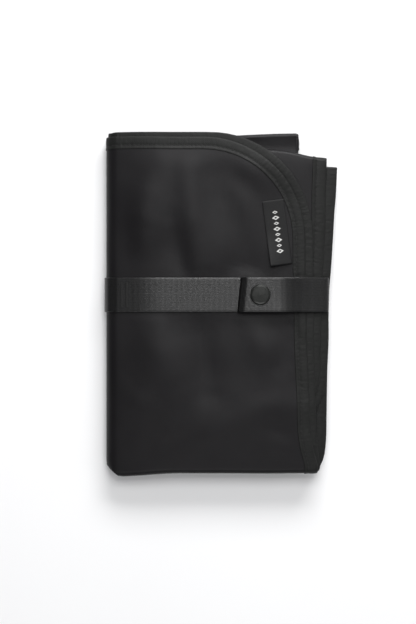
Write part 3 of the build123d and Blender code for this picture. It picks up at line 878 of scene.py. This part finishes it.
def lean(rings):
    """The tail's end is sewn a little askew, and the strap bows slightly between its bends."""
    x, y = rings[..., 0], rings[..., 1] - STRAP_Y
    rings[..., 0] += 0.10 * y * smooth_step(40, 20, x)
    rings[..., 2] += 0.25 * (y / STRAP_HALF)**2 * smooth_step(76, 60, x) * smooth_step(30, 45, x)
    return rings


tail_path = [(SIDE_X, WALL_MIDDLE_Z)] + run((SIDE_X, WALL_MIDDLE_Z), (SIDE_X, 13.9), 1.0)
tail_path += arc(SIDE_X - 1.8, 13.9, 1.8, 0, 72, 9)
shoulder = tail_path[-1]
tail_path += bezier([shoulder, (shoulder[0] - 13, shoulder[1] + 4.2), (53, TAIL_Z), (40, TAIL_Z)], 30)[1:]
HEM_TURN_X = tail_low[0] + 0.6 + WEB / 2
tail_path += run((40, TAIL_Z), (HEM_TURN_X, TAIL_Z), 1.2)
tail_path += arc(HEM_TURN_X, (TAIL_Z + HEM_Z + WEB / 2) / 2, (TAIL_Z - HEM_Z - WEB / 2) / 2, 90, 270, 12)
tail_path += run(tail_path[-1], (37.6, HEM_Z + WEB / 2), 1.2) + [(37.6, HEM_Z + WEB / 2)]
strap_tail = ribbon("strap_tail", tail_path, slant=lean)
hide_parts("strap_side_run", "strap_tail_webbing")
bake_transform(strap_tail)


# ---------------------------------------------------------------- the woven label
PLY = 0.28


def on_label(a, b, n):
    """A place across the label, along it and above its middle, where it lies on the sheet, in metres."""
    a, b, n = (np.asarray(q, float) for q in np.broadcast_arrays(a, b, n))
    flat = LABEL_SEWN + a[..., None] * LABEL_ACROSS + b[..., None] * LABEL_ALONG
    curl = -0.27 * a * smooth_step(4, -LABEL_LENGTH / 2 - 4, b)
    free = 0.45 * smooth_step(-5, -14, a) + 0.02 * -a * smooth_step(15, LABEL_LENGTH / 2, b)
    height = LABEL_Z + curl + free + n
    return np.concatenate([flat, height[..., None]], axis=-1) * MM


def woven_loop_label():
    """A two-ply loop, turned at its free side and open at its sewn side."""
    turn_a = 0.3 - LABEL_WIDTH
    upper = [(a, PLY) for a in np.linspace(0, turn_a, 15)]
    turned = [(turn_a - PLY * math.sin(t), PLY * math.cos(t)) for t in np.radians([30, 60, 90, 120, 150])]
    lower = [(a, -PLY) for a in np.linspace(turn_a, 0, 15)]
    slit = [(0, -0.03), (turn_a + 0.05, -0.02), (turn_a + 0.05, 0.02), (0, 0.03)]
    section = np.array(upper + turned + lower + slit)
    b = np.linspace(LABEL_LENGTH / 2, -LABEL_LENGTH / 2, 47)
    rings = on_label(section[None, :, 0], b[:, None], section[None, :, 1])
    points, faces = tube_mesh(rings)
    made = new_object("woven_loop_label", points, faces, LABEL)
    add_weave(made, rings)
    return fix_normals(made)


MOTIF_PITCH, MOTIF_COUNT, MOTIF_MIDDLE = 4.1, 8, (-7.7, 0.6)
MOTIF_LARGE, MOTIF_SMALL = (2.75, 1.6), (2.0, 1.15)


def label_motif():
    """A row of plain woven diamonds along the label, large and small by turns, open in the middle."""
    points, faces = [], []
    section = [(1.0, PLY - 0.02), (0.97, PLY + 0.07), (0.5, PLY + 0.07), (0.47, PLY - 0.02)]
    for k in range(MOTIF_COUNT):
        middle = (k - (MOTIF_COUNT - 1) / 2) * MOTIF_PITCH + MOTIF_MIDDLE[1]
        wide, tall = MOTIF_LARGE if k % 2 == 0 else MOTIF_SMALL
        outline = [(wide, 0), (wide / 2, tall / 2), (0, tall), (-wide / 2, tall / 2),
                   (-wide, 0), (-wide / 2, -tall / 2), (0, -tall), (wide / 2, -tall / 2)]
        ring = np.array([[(a * scale, b * scale, n) for scale, n in section] for a, b in outline])
        index = 32 * k + np.arange(32).reshape(8, 4)
        after = np.roll(index, -1, 0)
        quads = np.stack([index, after, np.roll(after, -1, 1), np.roll(index, -1, 1)], -1)
        faces += quads.reshape(-1, 4).tolist()
        placed = on_label(ring[..., 0] + MOTIF_MIDDLE[0], ring[..., 1] + middle, ring[..., 2])
        points.append(placed.reshape(-1, 3))
    return fix_normals(new_object("label_motif", np.concatenate(points), faces, MOTIF, smooth=False))


label = woven_loop_label()
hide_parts("woven_label")
motif = label_motif()
for piece in (label, motif):
    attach(piece, "label")


# ---------------------------------------------------------------- the press stud, from the frame
def finish_node(name, material):
    """Gives a frame part its material."""
    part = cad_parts[name]
    part.data.materials.clear()
    part.data.materials.append(material)


for name in ("snap_cap", "snap_socket", "snap_post", "snap_stud"):
    finish_node(name, SNAP)
finish_node("snap_spring", SPRING)


# ---------------------------------------------------------------- floor, lights, camera
floor = new_object("floor", np.array([(-4, -4, 0), (4, -4, 0), (4, 4, 0), (-4, 4, 0)]) - (0, 0, 0.0002),
                   [[0, 1, 2, 3]], None, smooth=False)
floor_material, floor_tree, floor_shader = new_material("white_floor", (0.86, 0.86, 0.87), 0.75)
floor_noise = noise(floor_tree, coordinates(floor_tree), 0.01)
tint(floor_tree, floor_shader, floor_noise, (0.85, 0.85, 0.855), (0.87, 0.87, 0.875))
floor.data.materials.clear()
floor.data.materials.append(floor_material)


def area_light(name, place_at, target, size, power, color=(1, 1, 1)):
    data = bpy.data.lights.new(name, "AREA")
    data.shape, data.size, data.size_y = "RECTANGLE", *size
    data.energy, data.color = power, color
    light = bpy.data.objects.new(name, data)
    light.location = place_at
    direction = mathutils.Vector(target) - mathutils.Vector(place_at)
    light.rotation_euler = direction.to_track_quat("-Z", "Y").to_euler()
    bpy.context.scene.collection.objects.link(light)
    return light


area_light("key", (0.30, 1.24, 0.74), (0, 0, 0), (1.2, 0.5), 26)
area_light("overhead", (0.10, 0.60, 1.50), (0, 0, 0), (0.8, 0.7), 11)
area_light("right_wall", (1.4, 0.0, 0.8), (0, 0, 0), (1.2, 0.8), 2.8)
area_light("low_wall", (0.0, -0.95, 1.25), (0, 0, 0), (1.2, 0.6), 6)

world = bpy.data.worlds.new("studio")
world.use_nodes = True
world.node_tree.nodes["Background"].inputs["Color"].default_value = (0.96, 0.97, 1.0, 1)
world.node_tree.nodes["Background"].inputs["Strength"].default_value = 0.19
bpy.context.scene.world = world

camera_data = bpy.data.cameras.new("camera")
camera_data.lens = 100
camera_data.dof.use_dof = False
camera = bpy.data.objects.new("camera", camera_data)
camera.location = (-0.0094, -0.0068, 1.291)
bpy.context.scene.collection.objects.link(camera)
bpy.context.scene.camera = camera
bpy.context.scene.view_settings.view_transform = "Standard"
